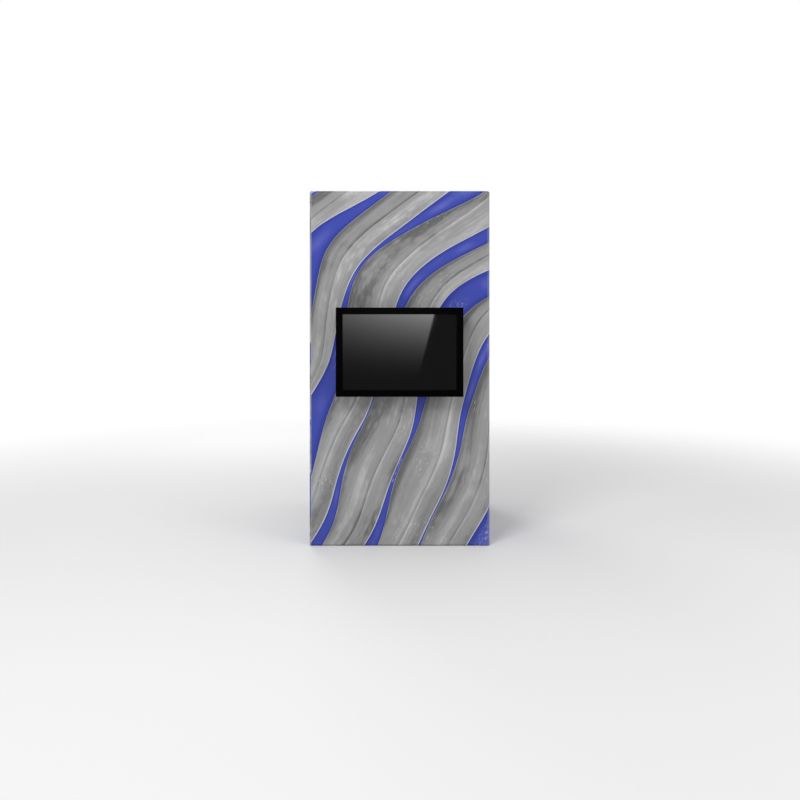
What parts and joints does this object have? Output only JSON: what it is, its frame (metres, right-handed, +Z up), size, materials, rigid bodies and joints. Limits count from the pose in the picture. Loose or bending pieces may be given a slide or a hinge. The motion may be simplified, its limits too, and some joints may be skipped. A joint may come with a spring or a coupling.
{
  "type": "monitor display tower",
  "caption": "Square free-standing tower of joined tubes under a stretched fabric sleeve, with a flat screen on a tilting hook-on mount at its front.",
  "frame": {"origin": "on the floor, under the middle of the whole object", "axes": "+Z up, -Y the front with the screen, +X the viewer's right"},
  "size_m": [1.22, 1.3524, 2.404],
  "materials": {
    "aluminium": "satin anodised",
    "hub_plastic": "moulded",
    "steel": "zinc plated",
    "fabric": "stretch knit, printed",
    "zip_tape": "woven tape",
    "mount_steel": "powder coated",
    "knob_plastic": "moulded",
    "bezel": "smooth",
    "screen_glass": "polished",
    "module": "plated sheet over clear plates",
    "plated_sheet": "plated sheet",
    "cover": "fine texture",
    "board": "solder mask",
    "socket": "moulded"
  },
  "bodies": {
    "frame": {"hub_bottom_front_left": "hub_plastic", "hub_top_front_left": "hub_plastic", "post_lower_front_left": "aluminium", "post_upper_front_left": "aluminium", "hub_bottom_front_right": "hub_plastic", "hub_top_front_right": "hub_plastic", "post_lower_front_right": "aluminium", "post_upper_front_right": "aluminium", "hub_bottom_rear_right": "hub_plastic", "hub_top_rear_right": "hub_plastic", "post_lower_rear_right": "aluminium", "post_upper_rear_right": "aluminium", "hub_bottom_rear_left": "hub_plastic", "hub_top_rear_left": "hub_plastic", "post_lower_rear_left": "aluminium", "post_upper_rear_left": "aluminium", "rail_bottom_front": "aluminium", "rail_bottom_rear": "aluminium", "rail_bottom_left": "aluminium", "rail_bottom_right": "aluminium", "rail_top_front": "aluminium", "rail_top_rear": "aluminium", "rail_top_left": "aluminium", "rail_top_right": "aluminium", "crossbar_upper": "aluminium", "crossbar_lower": "aluminium", "sleeve_front": "fabric", "sleeve_rear": "fabric", "sleeve_left": "fabric", "sleeve_right": "fabric", "sleeve_top": "fabric", "zip_chain": "zip_tape", "wall_plate": "mount_steel"},
    "snap_front_left": {"snap_button_front_left": "steel"},
    "snap_front_right": {"snap_button_front_right": "steel"},
    "snap_rear_right": {"snap_button_rear_right": "steel"},
    "snap_rear_left": {"snap_button_rear_left": "steel"},
    "zip_slider": {"zip_slider": "steel"},
    "zip_pull": {"zip_pull": "steel"},
    "carriage": {"hook_bracket_left": "mount_steel", "hook_bracket_right": "mount_steel"},
    "latch_left": {"safety_latch_left": "steel"},
    "latch_right": {"safety_latch_right": "steel"},
    "screen": {"tilt_arm_left": "mount_steel", "tilt_arm_right": "mount_steel", "monitor_bezel": "bezel", "monitor_screen": "screen_glass", "display_module": "module", "monitor_back_cover": "cover", "main_board": "board", "power_board": "board", "connector_panel": "plated_sheet", "power_inlet": "socket"},
    "knob_left": {"tilt_knob_left": "knob_plastic"},
    "knob_right": {"tilt_knob_right": "knob_plastic"},
    "key_power": {"key_power": "knob_plastic"},
    "key_input": {"key_input": "knob_plastic"},
    "key_plus": {"key_plus": "knob_plastic"},
    "key_minus": {"key_minus": "knob_plastic"}
  },
  "joints": [
    {"name": "snap_front_left_press", "type": "slide", "parent": "frame", "child": "snap_front_left", "axis": [-1, 0, 0], "range_m": [0, 0.004], "stiffness_N_per_m": 1500, "springref_m": -0.003},
    {"name": "snap_front_right_press", "type": "slide", "parent": "frame", "child": "snap_front_right", "axis": [1, 0, 0], "range_m": [0, 0.004], "stiffness_N_per_m": 1500, "springref_m": -0.003},
    {"name": "snap_rear_right_press", "type": "slide", "parent": "frame", "child": "snap_rear_right", "axis": [1, 0, 0], "range_m": [0, 0.004], "stiffness_N_per_m": 1500, "springref_m": -0.003},
    {"name": "snap_rear_left_press", "type": "slide", "parent": "frame", "child": "snap_rear_left", "axis": [-1, 0, 0], "range_m": [0, 0.004], "stiffness_N_per_m": 1500, "springref_m": -0.003},
    {"name": "zip_open", "type": "slide", "parent": "frame", "child": "zip_slider", "axis": [0, 0, 1], "range_m": [0, 2.27]},
    {"name": "zip_pull_swing", "type": "hinge", "parent": "zip_slider", "child": "zip_pull", "pos_m": [0.5489, 0.6739, 0.068], "axis": [1, 0, 0], "range_deg": [0, 170]},
    {"name": "screen_shift", "type": "slide", "parent": "frame", "child": "carriage", "axis": [1, 0, 0], "range_m": [-0.03, 0.03]},
    {"name": "latch_left_pull", "type": "slide", "parent": "carriage", "child": "latch_left", "axis": [0, 0, -1], "range_m": [0, 0.012], "stiffness_N_per_m": 300, "springref_m": -0.006},
    {"name": "latch_right_pull", "type": "slide", "parent": "carriage", "child": "latch_right", "axis": [0, 0, -1], "range_m": [0, 0.012], "stiffness_N_per_m": 300, "springref_m": -0.006},
    {"name": "screen_tilt", "type": "hinge", "parent": "carriage", "child": "screen", "pos_m": [0, -0.5902, 1.314], "axis": [1, 0, 0], "range_deg": [-5, 12]},
    {"name": "knob_left_turn", "type": "hinge", "parent": "screen", "child": "knob_left", "pos_m": [-0.1, -0.5902, 1.286], "axis": [-1, 0, 0], "range_deg": [0, 270]},
    {"name": "knob_right_turn", "type": "hinge", "parent": "screen", "child": "knob_right", "pos_m": [0.1, -0.5902, 1.286], "axis": [1, 0, 0], "range_deg": [0, 270]},
    {"name": "key_power_press", "type": "slide", "parent": "screen", "child": "key_power", "axis": [-1, 0, 0], "range_m": [0, 0.0008], "stiffness_N_per_m": 800, "springref_m": -0.0006},
    {"name": "key_input_press", "type": "slide", "parent": "screen", "child": "key_input", "axis": [-1, 0, 0], "range_m": [0, 0.0008], "stiffness_N_per_m": 800, "springref_m": -0.0006},
    {"name": "key_plus_press", "type": "slide", "parent": "screen", "child": "key_plus", "axis": [-1, 0, 0], "range_m": [0, 0.0008], "stiffness_N_per_m": 800, "springref_m": -0.0006},
    {"name": "key_minus_press", "type": "slide", "parent": "screen", "child": "key_minus", "axis": [-1, 0, 0], "range_m": [0, 0.0008], "stiffness_N_per_m": 800, "springref_m": -0.0006}
  ]
}
